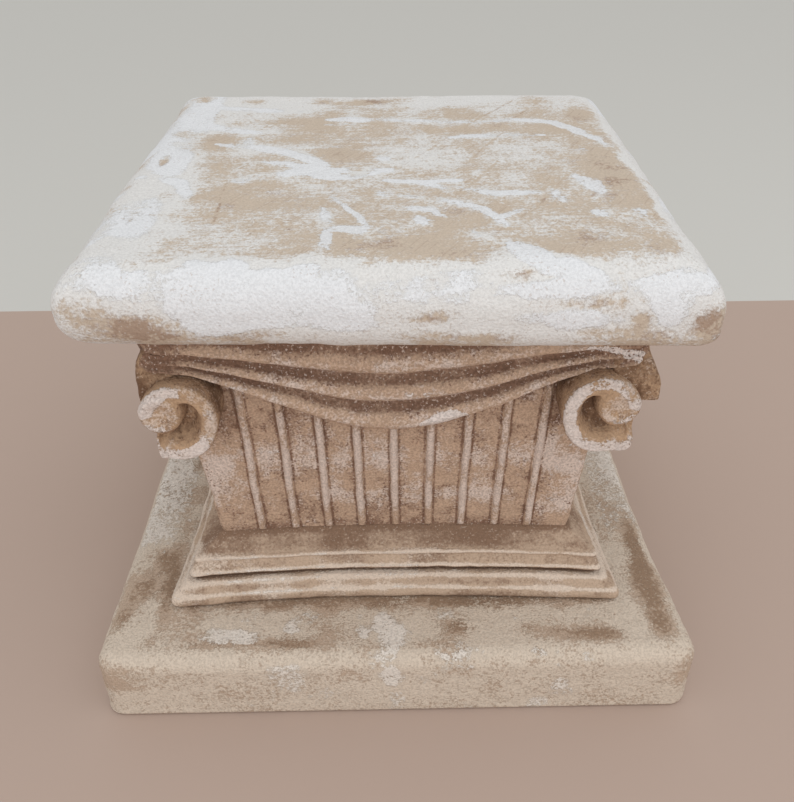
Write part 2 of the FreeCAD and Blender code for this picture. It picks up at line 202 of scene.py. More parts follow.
def set_piece(node, points, faces, slot_name, wash_and_shade, chalk, dab_and_light=0.0):
    """A painted casting in place of a CAD node, riding on the riser, with its coats as point attributes."""
    mesh = bpy.data.meshes.new(node + "_painted")
    points = points.reshape(-1, 3)
    mesh.from_pydata((points * METRES).tolist(), [], [face for group in faces for face in group.tolist()])
    volume = signed_volume(mesh, points)
    if volume < 0:
        mesh.flip_normals()
    mesh.shade_smooth()
    mesh.set_sharp_from_angle(angle=SHARP_ANGLE)
    for coat, values in (("wash_and_shade", wash_and_shade), ("chalk", chalk), ("dab_and_light", dab_and_light)):
        values = np.zeros(len(points), np.float32) + np.ravel(values).astype(np.float32)
        mesh.attributes.new(coat, "FLOAT", "POINT").data.foreach_set("value", values)
    mesh.materials.append(PAINTS[slot_name])
    piece = add_object(mesh.name, mesh)
    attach(piece, "root")
    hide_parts(node)
    print(f"{piece.name}: {len(mesh.loop_triangles)} triangles, {abs(volume) / 1000:.1f} cm3")


def set_run(node, points, slot_name, *coats):
    """A painted casting whose closed outline is carried through stations, with a cap at each end."""
    stations, outline = points.shape[:2]
    first, last = np.arange(outline)[None, ::-1], np.arange(outline)[None] + (stations - 1) * outline
    faces = [grid_faces(stations, outline, wrap_columns=True), first, last]
    set_piece(node, points, faces, slot_name, *coats)


# %% [markdown]
# ## Worn paint
# The finish is three coats on tan plaster: a brown wash that stays in the hollows, thin chalk paint that
# catches the high places, and thick dabs of white. The wash coat also carries painted shade in creases,
# under the folds and beside the scrolls, and the dab coat carries painted light on the plinth's sides. Each
# coat's attribute says roughly where it lies. In the shader, cloudy, speckled and dragged noise break its
# edge up, as a half-dry brush does on a rough surface.

# %% Node helpers
def tone(red, green, blue):
    """A colour as a picture editor shows it, 0 to 255, turned into linear light."""
    part = np.array([red, green, blue]) / 255
    linear = np.where(part <= 0.04045, part / 12.92, ((part + 0.055) / 1.055) ** 2.4)
    return (*[float(value) for value in linear], 1.0)


class Finish:
    """A material whose nodes are added one by one; each call gives the socket that the next one uses."""

    def __init__(self, name):
        self.material = bpy.data.materials.new(name)
        self.material.use_nodes = True
        self.tree = self.material.node_tree
        self.shader = self.tree.nodes["Principled BSDF"]
        self.place = self.node("ShaderNodeTexCoord")["Object"]

    def feed(self, socket, value):
        if isinstance(value, bpy.types.NodeSocket):
            self.tree.links.new(value, socket)
        else:
            socket.default_value = value

    def node(self, kind, inputs=None, **settings):
        """The outputs of a new node, with values or sockets fed to its inputs, named or numbered."""
        node = self.tree.nodes.new(kind)
        for key, value in settings.items():
            setattr(node, key, value)
        for key, value in (inputs or {}).items():
            self.feed(node.inputs[key], value)
        return node.outputs

    def add(self, first, second, operation="ADD"):
        return self.node("ShaderNodeMath", {0: first, 1: second}, operation=operation)[0]

    def less(self, first, second):
        return self.add(first, second, "SUBTRACT")

    def times(self, first, second):
        return self.add(first, second, "MULTIPLY")

    def coat(self, name):
        return self.node("ShaderNodeAttribute", attribute_name=name)["Fac"]

    def noise(self, size, detail, roughness, stretch=None, turn=0.0):
        """Noise with features about size millimetres wide, longer along the axes that stretch names."""
        noise = {"Scale": 1000.0 / size, "Detail": detail, "Roughness": roughness, "Vector": self.place}
        if stretch:
            place = {"Scale": stretch, "Rotation": (0.0, 0.0, turn), "Vector": self.place}
            noise["Vector"] = self.node("ShaderNodeMapping", place, vector_type="TEXTURE")[0]
        return self.node("ShaderNodeTexNoise", noise)["Fac"]

    def edge(self, value, low, high, start=0.0, stop=1.0):
        """Smooth step from start to stop between two levels of a value."""
        levels = {"Value": value, "From Min": low, "From Max": high, "To Min": start, "To Max": stop}
        return self.node("ShaderNodeMapRange", levels, interpolation_type="SMOOTHSTEP")["Result"]

    def blend(self, share, first, second):
        """Two colours mixed; sockets 6, 7 and 2 are the mix node's colours."""
        return self.node("ShaderNodeMix", {"Factor": share, 6: first, 7: second}, data_type="RGBA")[2]

    def spread(self, *parts):
        """Weighted noises added up, each measured from its middle value."""
        total = 0.0
        for weight, value in parts:
            total = self.add(self.times(self.less(value, 0.5), weight), total)
        return total

    def surface(self, colour, roughness, gloss=0.5):
        for name, value in (("Base Color", colour), ("Roughness", roughness), ("Specular IOR Level", gloss)):
            self.feed(self.shader.inputs[name], value)

    def relief(self, height, depth):
        """Bump of a height map, with its depth in millimetres."""
        bump = self.node("ShaderNodeBump", {"Distance": depth * METRES, "Height": height})[0]
        self.feed(self.shader.inputs["Normal"], bump)


# %% Painted plaster
def painted_plaster(name, tan, deep, chalk, dab_and_light, blotch=16.0, shares=(0.7, 0.9, 0.9), drag=0.0, soft=0.2,
                    fleck=0.6, ramp=(0.1, 0.95), ragged=0.75):
    """Tan plaster under brown wash and painted shade, thin chalk, and thick dabs and painted light, with dark
    flecks of bare grit.

    Each coat covers where its attribute plus the mixed noise passes a half. Blotch is the size of the
    largest noise, shares weigh blotches, specks and grain in the mix, drag adds brush lines to it and
    hairlines across them, soft is how gently thin chalk fades, fleck is the strength of the grit, ramp is
    where the brown of wash and painted shade begins and is full, and ragged is how far noise eats into dabs."""
    finish = Finish(name)
    add, less, times, edge, blend = finish.add, finish.less, finish.times, finish.edge, finish.blend
    noise, coat, spread = finish.noise, finish.coat, finish.spread
    cloud, speck, grain = noise(blotch, 8.0, 0.64), noise(2.6, 3.0, 0.6), noise(1.2, 2.0, 0.6)
    mixed = spread(*zip(shares, (cloud, speck, grain)))
    if drag:
        brushed = noise(1.5, 2.0, 0.6, stretch=(20.0, 1.0, 4.0), turn=0.06)
        mixed = add(mixed, spread((drag, brushed)))
    brown = edge(add(coat("wash_and_shade"), spread((1.1, cloud), (1.0, speck))), *ramp)
    thin = edge(add(coat("chalk"), mixed), 0.5 - soft, 0.5 + soft)
    thick = edge(add(coat("dab_and_light"), times(mixed, ragged)), 0.42, 0.56)
    sand = noise(1.3, 1.0, 0.5)
    rugged = times(add(0.1, edge(brown, 0.0, 0.4)), fleck)
    grit = times(edge(sand, 0.60, 0.66), rugged)
    crumbs = times(less(1.0, edge(sand, 0.30, 0.37)), times(rugged, 0.8))
    colour = blend(brown, tan, deep)
    if drag:
        hair = edge(noise(1.1, 1.0, 0.5, stretch=(1.0, 26.0, 3.0), turn=-0.5), 0.60, 0.70)
        colour = blend(times(hair, 0.4), colour, deep)
    colour = blend(thin, colour, chalk)
    colour = blend(times(thick, 0.88), colour, dab_and_light)
    colour = blend(crumbs, blend(grit, colour, deep), chalk)
    shade = edge(grain, 0.40, 0.60, 1.0 - 0.18 * fleck, 1.0 + 0.15 * fleck)
    colour = finish.node("ShaderNodeVectorMath", {0: colour, "Scale": shade}, operation="SCALE")[0]
    finish.surface(colour, less(0.95, times(thick, 0.14)), 0.25)
    height = add(spread((0.6, speck), (0.5, grain), (0.4, sand)), times(thick, 0.35))
    finish.relief(add(height, times(thin, 0.2)), 0.7)
    print("finish:", name, len(finish.tree.nodes), "nodes")
    return finish.material


PAINT_RECIPES = {  # colours of plaster, wash and painted shade, chalk, and dabs and painted light, then what differs from the usual finish
    "whitewashed_plaster": (
        ((196, 181, 164), (168, 146, 129), (219, 218, 216), (223, 225, 228)),
        dict(blotch=30.0, shares=(1.45, 0.85, 0.5), drag=0.5, fleck=0.3, ramp=(0.4, 0.66), ragged=0.42)),
    "cream_plaster": (
        ((184, 163, 144), (150, 126, 105), (205, 191, 175), (220, 212, 203)),
        dict(blotch=26.0, shares=(1.0, 1.0, 0.8), drag=0.3, soft=0.16, fleck=0.5, ramp=(0.34, 0.66))),
    "tan_plaster": (((187, 160, 138), (127, 98, 81), (208, 191, 180), (222, 213, 208)), dict(fleck=0.85)),
    "beige_plaster": (
        ((189, 166, 145), (136, 110, 91), (212, 195, 179), (224, 215, 206)),
        dict(blotch=24.0, shares=(0.9, 0.7, 0.6), fleck=0.4)),
    "worn_plaster": (((180, 150, 122), (116, 88, 68), (202, 183, 168), (216, 205, 199)), {}),
}
PAINTS = {name: painted_plaster(name, *[tone(*colour) for colour in colours], **settings)
          for name, (colours, settings) in PAINT_RECIPES.items()}

# %% [markdown]
# ## Top slab
# The slab is one casting with a fat rounded edge, whose rounds meet in soft mitres at the corners. A
# bevelled cube would give the outline, but not a surface fine enough to carry brush marks. Here a square
# sheet is draped over it: square rings of points run out over the flat top, round the nose and under it,
# and each ring is the plan of a square with rounded corners.

# %% Draped sheet of the slab
SLAB_HALF, SLAB_CORNER, SLAB_THICK = 150.0, 7.0, 40.0
SLAB_RINGS = (100, 124, 128, 146)  # where the flat, the upper round, the upright and the lower round end
SLAB_TWIST = -0.012  # the slab was set down a little askew
UPPER_ROUND, UPPER_GROWS = 18.5, 4.5  # radius at the left, and how much larger it is at the right
LOWER_ROUND, LOWER_SHRINKS = 17.5, 8.5


def slab_sheet():
    """Rings over the flat, the upper round, the upright and the lower round of the edge, each ring a square.

    The upper round grows and the lower one sharpens from the left of the slab to its right. Gives the
    places and the outward directions on a grid whose square rings are those of the slab."""
    flat_end, over_end, down_end, last = SLAB_RINGS
    index = np.arange(-last, last + 1)
    i, j = np.meshgrid(index, index, indexing="ij")
    ring = np.maximum(np.abs(i), np.abs(j))
    rightness = 0.5 + 0.5 * i / np.maximum(ring, 1)
    upper, lower = UPPER_ROUND + UPPER_GROWS * rightness, LOWER_ROUND - LOWER_SHRINKS * rightness
    over = np.clip((ring - flat_end) / (over_end - flat_end), 0, 1) * math.pi / 2
    down = np.clip((ring - over_end) / (down_end - over_end), 0, 1)
    under = np.clip((ring - down_end) / (last - down_end), 0, 1) * math.pi / 2
    half = ((SLAB_HALF - upper) * np.minimum(ring / flat_end, 1) + upper * np.sin(over)
            - lower * (1 - np.cos(under)))
    z = TOP_Z - upper * (1 - np.cos(over)) - (SLAB_THICK - upper - lower) * down - lower * np.sin(under)
    k = np.select([j == -ring, i == ring, j == ring], [0, 1, 2], 3)
    t = np.choose(k, [i, j, -i, -j]) / np.maximum(ring, 1)
    x, y, nx, ny = side_line(t, half, np.minimum(SLAB_CORNER, half / 2), 0.0)
    x, y = quarter_turned(x, y, k)
    nx, ny = quarter_turned(nx, ny, k)
    outward = np.sin(over) * np.cos(under)
    return np.stack([x, y, z], -1), np.stack([nx * outward, ny * outward, np.cos(over) - np.sin(under)], -1)


slab, slab_out = slab_sheet()
print("slab sheet", slab.shape, "height", slab[..., 2].min(), "to", slab[..., 2].max())

# %% [markdown]
# ## Brush strokes on the slab
# The white on the top was put on with a loaded brush in quick strokes and then rubbed back. Painting an
# image would do it, but the finish has to stay procedural, so each stroke is a few points with a width.
# Cover is full inside the width and fades at its edge. Broad soft patches say where the chalk was left on
# and where it was rubbed away.

# %% Strokes and patches
def strokes_cover(x, y, strokes):
    """Cover by brush strokes, each a width, a strength and the places x, y that its path runs through.

    The width swells and tapers along the path. The cover is full near the path, fades out at the stroke's
    edge and is ragged, as the places are shifted a little."""
    place = np.stack([x, y, 0.0 * x], -1)
    place = place[..., :2] + np.stack([rough(place, 12, 17), rough(place, 12, 18)], -1)
    cover = np.zeros(x.shape)
    for width, strength, *path in strokes:
        path = np.reshape(path, (-1, 2))
        for n, (start, way) in enumerate(zip(path, np.diff(path, axis=0))):
            share = np.clip((place - start) @ way / (way @ way), 0, 1)
            away = np.hypot(*np.moveaxis(place - start - share[..., None] * way, -1, 0))
            swelling = np.sqrt(np.sin(math.pi * (n + share) / (len(path) - 1)).clip(0))
            reach = width * (0.55 + 0.45 * swelling)
            cover = np.maximum(cover, strength * (1 - fade(away / reach, 0.3, 1.2)))
    return cover


def patches_cover(x, y, patches):
    """Sum of soft oval patches: each is its amount at the middle, falling as a bell over two half widths."""
    return sum(amount * np.exp(-((x - px) / rx) ** 2 - ((y - py) / ry) ** 2)
               for px, py, rx, ry, amount in patches)


SLAB_STROKES = (
    (7.5, 0.9, -40, 80, -20, 77, 5, 76), (6, 0.66, -5, 77, 32, 72, 62, 69, 85, 75),
    (7, 0.9, 80, 74, 102, 68, 113, 52, 122, 32), (4.5, 0.7, 120, 42, 127, 22, 131, 2),
    (6.5, 0.85, 36, 40, 60, 41, 93, 40), (5, 0.62, -4, 41, 18, 43, 40, 40),
    (8, 0.92, -102, 28, -78, 21, -55, 8, -36, -9), (6, 0.9, -85, 40, -84, 22),
    (8.5, 0.95, -82, -36, -55, -23, -32, -18, 0, -16), (12, 0.95, -46, -22, -22, -25, -10, -20),
    (8, 0.8, -70, -6, -52, -12, -34, -14), (2.6, 0.6, -60, 20, -20, 25), (2, 0.55, -68, 69, -15, 67),
    (5, 0.8, -2, -34, 16, -38, 40, -35), (4.6, 0.8, 15, -38, 24, -43, 33, -53),
    (5.5, 0.85, 37, -47, 56, -56, 78, -55), (5, 0.85, 6, -58, 31, -66, 47, -78, 57, -98),
    (4.6, 0.8, 66, -79, 52, -91), (5.5, 0.75, 0, -74, 20, -77, 27, -87),
    (3.2, 0.8, -30, -57, -21, -76, -7, -103), (7, 0.8, -9, -101, -28, -102),
    (5, 0.8, -33, -74, -28, -98, -30, -124, -42, -139), (11, 0.9, 56, -118, 66, -132, 78, -147),
    (8.5, 0.85, -5, 6, -2, 1), (5.5, 0.8, 50, -22, 50, -28), (8, 0.75, -4, -52, 0, -57),
    (7, 0.7, 14, -88, 17, -95), (9.5, 0.85, 102, -84, 105, -88), (9, 0.8, 122, -80, 124, -87),
    (8, 0.75, 84, -54, 89, -68), (10, 0.7, 101, -34, 106, -42, 109, -56), (5, 0.7, 112, 14, 109, 2),
    (5.5, 0.8, 40, -105, 48, -115), (11, 0.85, -112, -149, -92, -143, -66, -148),
    (9, 0.8, -140, -112, -132, -96, -124, -104), (8, 0.75, -136, -28, -112, -36, -104, -60),
    (10, 0.8, -128, 112, -96, 104, -60, 100), (9, 0.75, -120, 72, -100, 60, -82, 52),
)
SLAB_SCRATCHES = (
    (1.1, 0.6, 84, 118, 62, 84, 40, 52), (0.9, 0.5, 70, 46, 58, 24, 48, 2),
    (0.9, 0.5, 62, -4, 50, -30, 36, -56), (0.9, 0.5, 98, -30, 84, -56, 70, -82), (1, 0.55, 92, 96, 76, 70),
    (0.9, 0.5, 30, 30, 16, 4), (0.8, 0.7, -86, -42, -86, -92), (0.8, 0.6, -56, -86, -44, -104),
    (0.8, 0.6, -70, 133, -70, 121), (0.9, 0.5, 112, -44, 100, -70), (0.8, 0.5, -60, 64, -20, 66),
    (0.9, 0.45, -66, -84, -44, -78),
)
SLAB_PATCHES = (
    (-90, 106, 50, 22, 0.34), (-92, 55, 20, 16, 0.26), (48, 118, 56, 18, 0.24), (-122, -107, 18, 20, 0.3),
    (30, 2, 46, 34, 0.2), (-84, -112, 38, 26, 0.1), (74, -96, 18, 16, 0.16), (112, -112, 16, 30, 0.12),
    (-103, 36, 9, 18, -0.42), (-54, 76, 24, 16, -0.14), (-14, 121, 22, 8, -0.6), (-127, 128, 6, 9, -0.4),
    (-94, 122, 11, 7, -0.5), (-46, 120, 8, 8, -0.4), (96, 124, 10, 14, -0.34), (40, 58, 60, 9, -0.14),
    (-26, 6, 12, 20, -0.22), (120, -20, 15, 52, -0.28), (-76, -62, 32, 16, -0.16), (-104, -58, 14, 8, -0.1),
    (10, -122, 52, 16, -0.2), (40, -84, 20, 16, -0.2), (92, -108, 20, 26, -0.2), (126, -130, 14, 18, -0.24),
    (-104, -138, 12, 8, -0.5), (-128, -5, 3, 12, -0.5), (-126, -88, 10, 8, -0.3), (62, -147, 20, 5, -0.6),
    (-58, 44, 46, 8, -0.12), (-118, -56, 6, 5, -0.25), (-126, -52, 20, 44, 0.26), (122, 84, 10, 20, -0.2),
)
NOSE_PATCHES = (
    (-132, 247, 26, 11, -0.55), (-108, 244, 18, 7, -0.36), (16, 249, 18, 4, -0.5), (80, 255, 26, 4, -0.45),
    (5, 241, 30, 3, -0.2), (112, 248, 5, 4, -0.6), (142, 247, 9, 9, -0.7), (45, 239, 24, 3, -0.25),
    (-51, 242, 12, 3, -0.25), (63, 266, 19, 4, -0.62), (96, 242, 34, 4, -0.25), (-70, 240, 30, 3, -0.2),
)
print("slab:", len(SLAB_STROKES), "strokes and", len(SLAB_SCRATCHES), "scratches")

# %% Paint the slab
uneven = 0.9 * rough(slab, 95, 3, 2) + 0.4 * rough(slab, 22, 4) + 0.12 * rough(slab, 6, 6, 2)
x, y, z = np.moveaxis(slab, -1, 0)
edge = np.maximum(np.abs(x), np.abs(y))
chalk = (0.44 + 0.28 * fade(-x, 84, 128) + 0.3 * fade(y, 96, 134) + 0.42 * fade(x, 129, 141)
         + 0.30 * fade(-y, 124, 140))
patches = patches_cover(x, y, SLAB_PATCHES)
chalk = np.minimum(chalk, 0.74) + patches
front, low = fade(-y, 134, 141), fade(-z, -247, -233)
nose = fade(edge + 6.0 * rough(slab, 26, 14), 132, 141)
spots = (front * patches_cover(x, z, NOSE_PATCHES)
         - 0.3 * (1 - front) * nose * fade(rough(slab, 38, 13), 0.2, 0.7))
nose_chalk = 1.0 + 0.25 * rough(slab, 34, 12) + 1.2 * spots - 0.38 * low
chalk = chalk + (nose_chalk - chalk) * nose
load = 0.70 + 0.3 * rough(slab, 16, 19)
strokes = strokes_cover(x, y, SLAB_STROKES) * (1 - fade(edge, 140, 146))
dab_and_light = load * strokes
chalk = chalk + 0.22 * strokes
solid = np.maximum(nose, 0.9 * fade(-x, 104, 120)) * (0.62 + 0.4 * rough(slab, 40, 15))
dab_and_light = np.maximum(dab_and_light, solid + 1.3 * np.minimum(spots + patches * (1 - nose), 0) - 0.6 * low)
wash_and_shade = 0.26 - 0.5 * np.minimum(patches * (1 - nose) + spots, 0) + 0.12 * low + 0.18 * rough(slab, 10, 20)
scratched = strokes_cover(x, y, SLAB_SCRATCHES)
chalk, wash_and_shade = chalk - 0.4 * scratched, wash_and_shade + 0.3 * scratched
print("slab paint: mean chalk", chalk.mean().round(2), "and mean dab", dab_and_light.mean().round(2))

# %% Close the slab underneath and set it
UNDER_SHARE = 0.86  # size of a ring under the slab, as a share of its rim
slab = slab + slab_out * (uneven + 0.3 * dab_and_light)[..., None]
cos_twist, sin_twist = math.cos(SLAB_TWIST), math.sin(SLAB_TWIST)
slab[..., :2] = slab[..., :2] @ np.array([[cos_twist, sin_twist], [-sin_twist, cos_twist]])
side = 2 * SLAB_RINGS[-1] + 1
number = np.arange(side * side).reshape(side, side)
rim = np.concatenate([number[:-1, 0], number[-1, :-1], number[:0:-1, -1], number[0, :0:-1]])
under = slab.reshape(-1, 3)[rim] * np.array([[UNDER_SHARE, UNDER_SHARE, 1.0]])
points = np.concatenate([slab.reshape(-1, 3), under, [[0.0, 0.0, HEAD_Z]]])
inner = side * side + np.arange(len(rim))
strip = np.stack([rim, inner, np.roll(inner, -1), np.roll(rim, -1)], -1)
fan = np.stack([inner, np.full(len(rim), side * side + len(rim)), np.roll(inner, -1)], -1)
coats = [np.append(coat, np.full(len(rim) + 1, hidden))
         for coat, hidden in ((wash_and_shade, 0.6), (chalk, 0.1), (dab_and_light, 0.0))]
set_piece("top_slab", points, [grid_faces(side, side), strip, fan], "whitewashed_plaster", *coats)

# %% [markdown]
# ## Plinth slab
# The plinth is a square ring, because a well in its middle opens the hollow core from below. Its section is
# a closed outline, carried once round a square plan with rounded corners, so it wraps both ways and has no
# seam. Its left side is a little hollow in plan, and its right side more so.

# %% Plinth section carried round
PLINTH_HALF, PLINTH_CORNER, PLINTH_ROUND, WELL_HALF = 171.0, 13.0, 10.0, 64.3
ROUND_FROM, ROUND_BELOW = PLINTH_HALF - PLINTH_ROUND, PLINTH_TOP - PLINTH_ROUND
FOOT_EASED, OPEN_FROM = 1.6, 122.0  # what is off the foot's arris, and where the top comes out of the steps
TOP_ROWS, SIDE_ROWS, SIDE_STATIONS = 30, 28, 264
HOLLOW_RIGHT, HOLLOW_LEFT = 8.5, 3.5  # how far the sides are drawn in at their middle


def plinth_outline():
    """Section of the plinth as reach and height: top outwards from the well, round, side, bottom, well."""
    turn = np.linspace(0, math.pi / 2, 12)[1:-1]
    top = np.append([WELL_HALF, 84.0, 104.0, 118.0], np.linspace(OPEN_FROM + 1, ROUND_FROM, TOP_ROWS))
    side = np.linspace(ROUND_BELOW, FOOT_EASED, SIDE_ROWS)
    bottom = np.array([PLINTH_HALF - FOOT_EASED, 150.0, 125.0, 100.0, 80.0, WELL_HALF])
    reach = [top, ROUND_FROM + PLINTH_ROUND * np.sin(turn), np.full(SIDE_ROWS, PLINTH_HALF), bottom]
    height = [np.full(len(top), PLINTH_TOP), ROUND_BELOW + PLINTH_ROUND * np.cos(turn), side,
              np.zeros(len(bottom))]
    return np.concatenate(reach), np.concatenate(height)


reach, height = plinth_outline()
corner = np.maximum(PLINTH_CORNER - PLINTH_HALF + reach, 0.4)
x, y, nx, ny = [value.T for value in square_ring(SIDE_STATIONS, reach[:, None], corner[:, None])]
hollow = 1 - np.clip(y / PLINTH_HALF, -1, 1) ** 2
x = x + hollow * (HOLLOW_LEFT * fade(-x, 126, 152) - HOLLOW_RIGHT * fade(x, 126, 152))
plinth = np.stack([x, y, np.broadcast_to(height, x.shape)], -1)
upward = np.clip((height - ROUND_BELOW) / PLINTH_ROUND, 0, 1)
outward = np.sqrt(1 - upward ** 2) * (reach > ROUND_FROM - 1)
lift = np.stack([nx * outward, ny * outward, np.broadcast_to(upward * (reach > OPEN_FROM), x.shape)], -1)
uneven = 0.8 * rough(plinth, 90, 23, 2) + 0.45 * rough(plinth, 20, 24) + 0.15 * rough(plinth, 6, 26, 2)
print("plinth section", len(reach), "points, carried through", len(x), "stations")

# %% Paint and set the plinth
PLINTH_WEAR = (
    (37, -149, 13, 7, 0.7), (74, -151, 12, 6, 0.6), (92, -154, 8, 5, 0.5), (111, -155, 14, 7, 0.75),
    (125, -157, 12, 6, 0.5), (152, -122, 10, 32, 0.95), (153, -148, 8, 12, 0.7), (153, -82, 6, 26, 0.9),
    (142, 10, 5, 90, 0.12), (-94, -159, 26, 5, 0.5), (-58, -158, 22, 6, 0.6), (-145, -91, 8, 10, 0.9),
    (-153, -114, 10, 12, 0.85), (-160, -138, 8, 14, 0.7), (-136, -120, 6, 34, 0.75), (-143, -157, 6, 6, 0.5),
    (-139, 4, 7, 10, 0.5), (-138, 40, 6, 50, 0.2), (-136, -60, 5, 40, 0.35), (10, -160, 30, 4, 0.4),
    (0, 146, 90, 9, 0.6), (120, 140, 20, 16, 0.5),
)
PLINTH_DABS = (
    (9, 0.85, -111, -152, -96, -154, -80, -154), (9, 0.85, -62, -149, -54, -142, -46, -133),
    (15, 0.95, -8, -142, -5, -152, -5, -163), (10, 0.7, -16, -146, -20, -154), (3, 0.9, -153, -53, -152, -54),
    (11, 0.85, 24, -167, 36, -166, 46, -169), (9, 0.8, 68, -169, 84, -170), (3.4, 0.9, -137, -55, -136, -56),
    (4, 0.9, -142, -71, -141, -69), (3.4, 0.9, -147, -82, -146, -83), (2.6, 0.8, 68, -141, 69, -143),
)
FACE_DABS = (
    (20, 0.75, -67, 38, -58, 24), (12, 0.9, -3, 36, -3, 26), (9, 0.85, 90, 20, 96, 25),
    (9, 0.8, 28, 42, 40, 38), (14, 0.55, -50, 18, -30, 14), (8, 0.7, 22, 34, 30, 38),
)
x, y, z = np.moveaxis(plinth, -1, 0)
flat, front = fade(z, 40, 45), fade(-y, 160, 168)
edge = np.maximum(np.abs(x), np.abs(y))
by_steps = 1 - fade(edge + 5.0 * rough(plinth, 14, 37), 127, 140)
by_steps *= (1 - 0.75 * fade(x, 122, 128)) * (1 - 0.6 * fade(-x, 122, 128))
worn = flat * np.maximum(patches_cover(x, y, PLINTH_WEAR), 0.8 * by_steps)
worn += 0.5 * (1 - flat) * front * (fade(x, 148, 166) + fade(-x, 130, 160)) * fade(z, 14, 24)
chalk = 0.72 + 0.24 * rough(plinth, 30, 33) * flat - 0.66 * worn - 0.08 * (1 - fade(z, 32, 44))
wash_and_shade = 0.10 + 0.66 * worn + 0.16 * rough(plinth, 26, 34) - 0.16 * (1 - flat)
dab_and_light = (0.62 + 0.3 * rough(plinth, 9, 42)) * flat * strokes_cover(x, y, PLINTH_DABS)
dab_and_light += 0.6 * (1 - flat) * front * strokes_cover(x, z, FACE_DABS)
dab_and_light = np.maximum(dab_and_light, 0.4 * fade(rough(plinth, 14, 41), 0.4, 0.9) * (1 - worn))
# painted light: paler dabs on the plinth's sides, from the middle towards the back, lift them out of the
# slab's shade
dab_and_light = np.maximum(dab_and_light, 0.54 * flat * fade(np.abs(x), 126, 140) * fade(y, -110, -60) * (1 - worn))
plinth = plinth + lift * (uneven * fade(z, 0.5, 6))[..., None]
faces = [grid_faces(*x.shape, wrap_rows=True, wrap_columns=True)]
set_piece("plinth_slab", plinth, faces, "cream_plaster", wash_and_shade, chalk, dab_and_light)

# %% [markdown]
# ## Stepped base
# Two courses run round the foot of the body on each face, mitred at the corners: a lower one with a round
# nose and a groove above it, and an upper one with a beaded arris and a sloping wash. Each is a section
# carried along the hollow face. The outline is drawn with straight lines, sampled finely and averaged along
# itself, which softens its arrises as brushing and paint do.

# %% Section of a course
def softened_outline(corners, step=0.55, soften=1.1):
    """A closed outline through corners, sampled every step, each point averaged with those within soften."""
    ends = np.roll(corners, -1, axis=0)
    counts = np.maximum((np.hypot(*(ends - corners).T) / step).round().astype(int), 1)
    share = np.concatenate([np.arange(n) / n for n in counts])[:, None]
    outline = np.repeat(corners, counts, axis=0) * (1 - share) + np.repeat(ends, counts, axis=0) * share
    width = int(round(soften / step))
    weights = np.hanning(2 * width + 3)[1:-1]
    shifted = [w * np.roll(outline, s, axis=0)
               for w, s in zip(weights / weights.sum(), range(-width, width + 1))]
    return sum(shifted)


def arc(x, z, radius, start, stop, count):
    """Points along an arc about x, z, from one angle to another in degrees."""
    turn = np.radians(np.linspace(start, stop, count))
    return np.stack([x + radius * np.cos(turn), z + radius * np.sin(turn)], -1)


COURSE_BACK, ARRIS, UPPER, LIP, NOSE = 92.0, 112.26, 116.76, 118.76, 126.26  # reaches at mid face
NOSE_Z, BED_Z, ARRIS_Z = 50.5, 61.8, 71.3
NOSE_ROUND, BEAD_ROUND = 5.6, 1.7
nose_section = np.concatenate([
    [[COURSE_BACK, PLINTH_TOP]], arc(NOSE - NOSE_ROUND, NOSE_Z, NOSE_ROUND, -54, 54, 9),
    [[LIP + 1.2, 57.8], [LIP, 59.3], [113.2, 59.5], [112.6, BED_Z], [COURSE_BACK, BED_Z]]])
fascia_section = np.concatenate([
    [[COURSE_BACK, BED_Z], [UPPER, BED_Z], [UPPER - 0.4, 63.2]], arc(ARRIS, ARRIS_Z, BEAD_ROUND, -60, 110, 7),
    [[FOOT_HALF - 3.5, FOOT_Z], [COURSE_BACK, FOOT_Z]]])
COURSES = {  # section, corner round, heights of the worn edges and heights of the creases darkened as painted shade
    "base_nose_course_": (softened_outline(nose_section), 5.0, (54.0, 58.6), (61.2, 46.2)),
    "base_fascia_course_": (softened_outline(fascia_section), 3.5, (71.6, 63.4), (61.2, 80.6)),
}
print("points round the sections:", [len(outline) for outline, *_ in COURSES.values()])

# %% Carry the courses along the faces
COURSE_STATIONS, CROWDING = 261, math.pi / 2 * 0.86  # stations stand closer together towards the mitres


def course(outline, corner, k):
    """One course on one face: its section at every station from mitre to mitre, along the hollow of the face.

    Gives the points, how near each station is to a mitre and where the groove between the courses is."""
    reach, height = outline.T
    t = np.sin(np.linspace(-CROWDING, CROWDING, COURSE_STATIONS)) / math.sin(CROWDING)
    half = corner_reach(reach)
    x, y, nx, ny = side_line(t[:, None], half, corner * fade(reach, 93, 112), half - reach)
    exposed = fade(reach, 98, 106)
    world = on_face(x, y, height, k)
    push_out(world, k, exposed * (0.5 * rough(world, 40, 51) + 0.28 * rough(world, 9, 52)), nx, ny)
    between_beds = fade(height, 46.5, 48) * (1 - fade(height, 79.5, 80.6))
    world[..., 2] += exposed * between_beds * 0.3 * rough(world, 30, 53)
    groove = (1 - fade(reach, 114.5, 117.5)) * fade(height, 58.8, 59.6) * (1 - fade(height, 62.2, 63))
    return world, np.abs(t)[:, None], groove


def near_levels(world, levels, width):
    """How near a point is to one of some given heights: a bell of a width about each."""
    return sum(np.exp(-((world[..., 2] - level) / width) ** 2) for level in levels)


